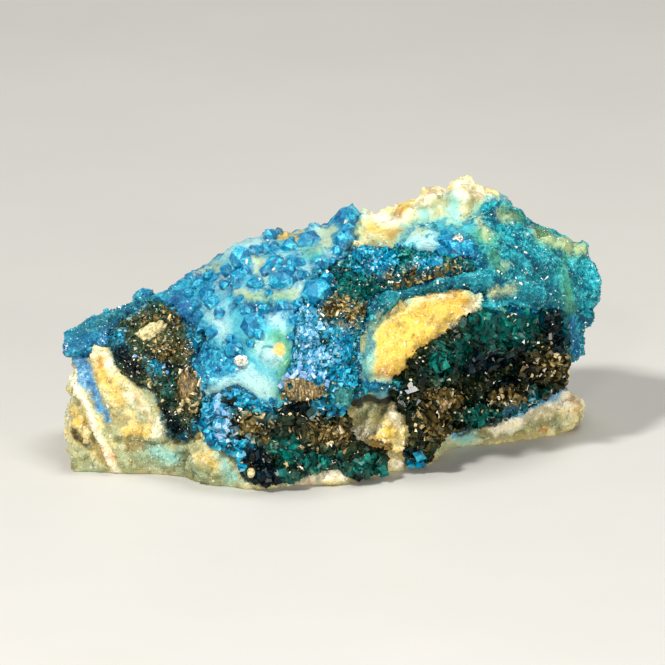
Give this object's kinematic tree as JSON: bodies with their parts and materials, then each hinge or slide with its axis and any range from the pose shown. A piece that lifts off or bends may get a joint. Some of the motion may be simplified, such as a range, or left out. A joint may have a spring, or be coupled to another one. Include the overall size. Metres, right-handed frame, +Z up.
{
  "type": "veszelyite specimen",
  "caption": "Rough block of cream host rock with turquoise crust and dark, flat-faced crystal druses on its display face, resting on its flat underside.",
  "frame": {"origin": "middle of the bounding box in X and Y, on the surface that the specimen rests on", "axes": "+X along the length, to the right as pictured; +Y away from the display face; +Z up"},
  "size_m": [0.0602, 0.0367, 0.0289],
  "materials": {
    "host_rock": "rough, granular",
    "turquoise_left": "waxy to vitreous",
    "turquoise_right": "waxy to vitreous",
    "dark_left": "vitreous crystal faces",
    "dark_center": "vitreous crystal faces",
    "dark_lower": "vitreous crystal faces",
    "dark_right": "vitreous crystal faces"
  },
  "bodies": {
    "root": {"matrix": "host_rock", "turquoise_crust_left": "turquoise_left", "turquoise_crust_right": "turquoise_right", "veszelyite_left": "dark_left", "veszelyite_center": "dark_center", "veszelyite_lower": "dark_lower", "veszelyite_right": "dark_right"}
  },
  "joints": []
}
